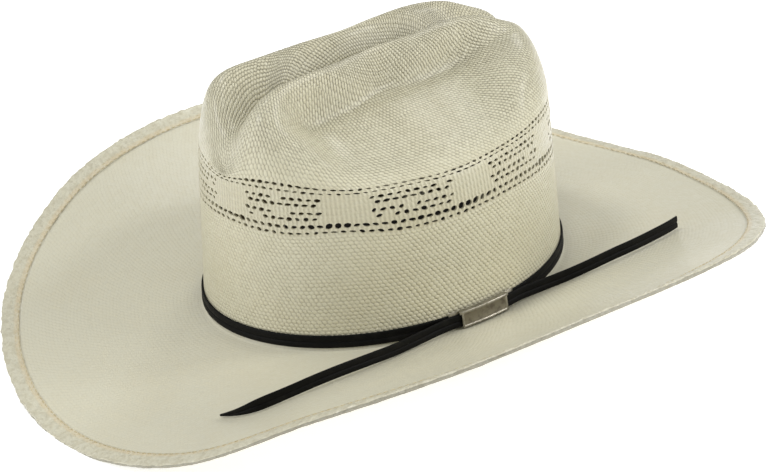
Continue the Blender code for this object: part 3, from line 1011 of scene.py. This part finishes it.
def strip_place(row):
    """Height share and thickness share of each row of the closed section."""
    places = np.array(STRIP_SECTION + STRIP_SECTION[:1])
    return places[row.round().astype(int)].T


leather = leather_finish()
print("strip section of", len(STRIP_SECTION), "corners")

# %% Band
BAND_COLUMNS = 360


def band_place(column, row):
    high, out = strip_place(row)
    turn = turn_of(column, BAND_COLUMNS)
    return on_floor(held_point(turn, BAND_FOOT + BAND_WIDTH * high, GAP + BAND_THICKNESS * out))


form = flat_grid(BAND_COLUMNS, len(STRIP_SECTION))
carry(form, band_place)
bmesh.ops.recalc_face_normals(form, faces=form.faces)
band = new_piece("black_band", form, leather, ["hat_band"])
worked_in(band)

# %% Strap
STRAP_COLUMNS = STRAP_STEPS * (len(STRAP_ROUTE) - 1)


def strap_sheet(place, high):
    """Points on the strap's inner face: place counts the rows of its route, high is 0 below and 1 above."""
    rows = [(k, *values) for k, values in enumerate(STRAP_ROUTE)]
    degrees, share, held, width = (between(rows, column, place) for column in (1, 2, 3, 4))
    turn = np.radians(degrees)
    free = brim_point(turn, share + STRAP_OUT / BRIM_WIDTH, STRAP_LIFT)
    free[..., 2] += BAND_WIDTH * width * high
    fixed = held_point(turn, BAND_FOOT + BAND_WIDTH * width * high, share * BRIM_WIDTH + STRAP_OUT)
    return free + times(fixed - free, held)


def strap_place(column, row):
    high, out = strip_place(row)
    place = column / STRAP_STEPS
    step = 0.01
    sheet = strap_sheet(place, high)
    ahead = strap_sheet(place + step, high) - strap_sheet(place - step, high)
    raised = strap_sheet(place, high + step) - strap_sheet(place, high - step)
    square = np.cross(ahead, raised)
    square /= np.linalg.norm(square, axis=-1, keepdims=True)
    return on_floor(sheet + times(square, out * STRAP_THICKNESS))


form = flat_grid(STRAP_COLUMNS, len(STRIP_SECTION))
carry(form, strap_place)
bmesh.ops.holes_fill(form, edges=[edge for edge in form.edges if edge.is_boundary], sides=len(STRIP_SECTION))
bmesh.ops.recalc_face_normals(form, faces=form.faces)
strap = new_piece("black_strap", form, leather, ["tie_strap"])
worked_in(strap)

# %% [markdown]
# ## The slide
#
# The slide is cast pewter: a plate with a raised border in front of the strap, a rail over the strap's
# upper edge, and a thin wing behind the strap at each end. It is modelled flat, as blocks with their edges
# bevelled and the plate's face sunk inside its border, and then bent round the crown by the same formula
# that places the strap.

# %% Slide
SLIDE_TURN = math.radians(90.8)
SLIDE_LENGTH, SLIDE_WING, SLIDE_FOOT, SLIDE_RIM, RAIL_OVERHANG = 0.029, 0.0065, 0.0014, 0.0014, 0.001
SLIDE_BORDER, SLIDE_SUNK, SLIDE_BEVEL = 0.0011, 0.00032, 0.00018
SLIDE_STEPS = 16
STRAP_TOP = BAND_FOOT + BAND_WIDTH
SLIDE_TOP = STRAP_TOP + GAP + SLIDE_RIM
WING_IN = GAP + BAND_THICKNESS + GAP
PLATE_IN = STRAP_OUT + STRAP_THICKNESS + GAP
PLATE_OUT = PLATE_IN + SLIDE_THICKNESS


def pewter_finish(name, bright, dull, roughness):
    made, start = new_finish(name)
    place = start.add("TexCoord")["Object"]
    patina = start.add("TexNoise", None, {"Vector": place, "Scale": 330.0, "Detail": 3.0, "Roughness": 0.55})
    dark = patina.ramp(0.42, 0.68)
    bump = start.add("Bump", None, {"Height": patina, "Strength": 0.4, "Distance": 0.00008})
    finish_with(
        start,
        {
            "Base Color": mixed(dark, bright, dull),
            "Metallic": 1.0,
            "Roughness": dark * 0.12 + roughness,
            "Normal": bump,
        },
    )
    return made


def flat_block(form, along, up, out):
    """A block whose corners are (distance along, height, distance out), cut crosswise so that it can bend."""
    size = Vector((along[1] - along[0], up[1] - up[0], out[1] - out[0]))
    middle = Vector((sum(along) / 2, sum(up) / 2, sum(out) / 2))
    matrix = Matrix.Translation(middle) @ Matrix.Diagonal(size).to_4x4()
    made = bmesh.ops.create_cube(form, size=1.0, matrix=matrix)["verts"]
    edges = {edge for vert in made for edge in vert.link_edges}
    lengthwise = [edge for edge in edges if abs(edge.verts[0].co.x - edge.verts[1].co.x) > MERGED]
    cuts = max(1, round(SLIDE_STEPS * size.x / SLIDE_LENGTH))
    bmesh.ops.subdivide_edges(form, edges=lengthwise, cuts=cuts, use_grid_fill=True)


def make_slide():
    half = SLIDE_LENGTH / 2
    end = half + SLIDE_WING
    form = bmesh.new()
    flat_block(form, (-half, half), (SLIDE_FOOT, SLIDE_TOP), (PLATE_IN, PLATE_OUT))
    front = [face for face in form.faces if all(vert.co.z > PLATE_OUT - MERGED for vert in face.verts)]
    bmesh.ops.inset_region(form, faces=front, thickness=SLIDE_BORDER, depth=0.0, use_even_offset=True)
    bmesh.ops.inset_region(form, faces=front, thickness=SLIDE_SUNK / 2, depth=-SLIDE_SUNK, use_even_offset=True)
    for face in front:
        face.material_index = 1
    rail = (-half - RAIL_OVERHANG, half + RAIL_OVERHANG)
    flat_block(form, rail, (STRAP_TOP + GAP, SLIDE_TOP + 0.0001), (WING_IN, PLATE_OUT - 0.0001))
    for along in ((-end, -half), (half, end)):
        flat_block(form, along, (BAND_FOOT, SLIDE_TOP), (WING_IN, WING_IN + WING_THICKNESS))
    sharp = [edge for edge in form.edges if edge.is_manifold and edge.calc_face_angle() > SHARP]
    bmesh.ops.bevel(form, geom=sharp, offset=SLIDE_BEVEL, affect="EDGES", segments=2, profile=0.5, material=-1)
    speed = math.hypot(CROWN_WIDTH / 2 * math.cos(SLIDE_TURN), CROWN_LENGTH / 2 * math.sin(SLIDE_TURN))
    flat = np.array([vert.co for vert in form.verts])
    bent = on_floor(held_point(SLIDE_TURN + flat[:, 0] / speed, flat[:, 1], flat[:, 2]))
    for vert, point in zip(form.verts, bent):
        vert.co = point
    bmesh.ops.recalc_face_normals(form, faces=form.faces)
    return form


polished = pewter_finish("polished_pewter", (0.34, 0.32, 0.27, 1), (0.22, 0.205, 0.165, 1), 0.34)
slide = new_piece("pewter_slide", make_slide(), polished, ["slide_buckle"])
slide.data.materials.append(pewter_finish("dark_pewter", (0.21, 0.19, 0.145, 1), (0.14, 0.125, 0.095, 1), 0.40))
worked_in(slide)

# %% [markdown]
# ## Floor and light
#
# The hat stands on a white table whose surface glows with painted light, like a table lit from below for
# product pictures, so the floor has no horizon and the shadow under the brim stays pale. Under the far side
# of the crown the table's glow and colour turn dark, a painted shadow that keeps its light from showing
# through the open-work. Broad soft lights hang above the hat and stand at its front and its right, and a
# pale sky keeps everything open, as in a studio box.

# %% Floor
FLOOR_SIZE = 14.0
FLOOR_GLOW = 0.6
# A painted shadow: round this middle, under the far side of the crown, the floor is dark in colour and glow.
SHADOW_PATCH_MIDDLE = (-0.060, 0.038, 0)
SHADOW_PATCH_EDGE = 0.10, 0.14  # distances from there at which the white starts and is full


def floor_finish():
    made, start = new_finish("pale_floor_painted_shadow")
    place = start.add("TexCoord")["Object"]
    away = start.add("VectorMath", {"operation": "DISTANCE"}, {0: place, 1: SHADOW_PATCH_MIDDLE})["Value"]
    # Painted shadow: the floor's glow and colour turn dark near the middle, so that no light comes up through the
    # open-work.
    lit = mixed(away.ramp(*SHADOW_PATCH_EDGE), (0.01, 0.01, 0.01, 1), (1, 1, 1, 1))
    pale = mixed(away.ramp(*SHADOW_PATCH_EDGE), (0.05, 0.04, 0.03, 1), (0.8, 0.8, 0.8, 1))
    values = {"Base Color": pale, "Roughness": 0.9, "Specular IOR Level": 0.1}
    finish_with(start, values | {"Emission Color": lit, "Emission Strength": FLOOR_GLOW})
    return made


form = bmesh.new()
bmesh.ops.create_grid(form, x_segments=1, y_segments=1, size=FLOOR_SIZE / 2)
mesh = bpy.data.meshes.new("floor")
form.to_mesh(mesh)
form.free()
floor = bpy.data.objects.new("floor", mesh)
mesh.materials.append(floor_finish())
bpy.context.scene.collection.objects.link(floor)
print("floor", FLOOR_SIZE, "m wide")

# %% Lights
LIGHTS = (
    # name, place, size in metres, power in watts
    ("key", (-0.3, -0.6, 2.2), 0.5, 14.4),
    ("camera_top", (1.0, -0.8, 2.0), 0.5, 5.4),
    ("front_fill", (-0.6, -2.4, 1.1), 0.8, 19.5),
    ("right_fill", (2.0, 1.6, 1.0), 1.4, 29.0),
    ("right_top", (1.2, 1.6, 1.8), 0.5, 12.4),
    ("back_top", (-0.8, 1.4, 1.8), 0.6, 8.3),
)
SKY = (1.0, 1.0, 1.0, 1)
SKY_STRENGTH = 0.37

for name, place, size, power in LIGHTS:
    lamp = bpy.data.lights.new(name, "AREA")
    lamp.shape, lamp.size, lamp.energy = "DISK", size, power
    holder = bpy.data.objects.new(name, lamp)
    holder.location = place
    holder.rotation_euler = (Vector((0, 0, 0.05)) - Vector(place)).to_track_quat("-Z", "Y").to_euler()
    bpy.context.scene.collection.objects.link(holder)
world = bpy.data.worlds.new("sky")
world.use_nodes = True
world.node_tree.nodes["Background"].inputs["Color"].default_value = SKY
world.node_tree.nodes["Background"].inputs["Strength"].default_value = SKY_STRENGTH
bpy.context.scene.world = world
bpy.context.scene.view_settings.view_transform = "Standard"
print(len(LIGHTS), "lights")
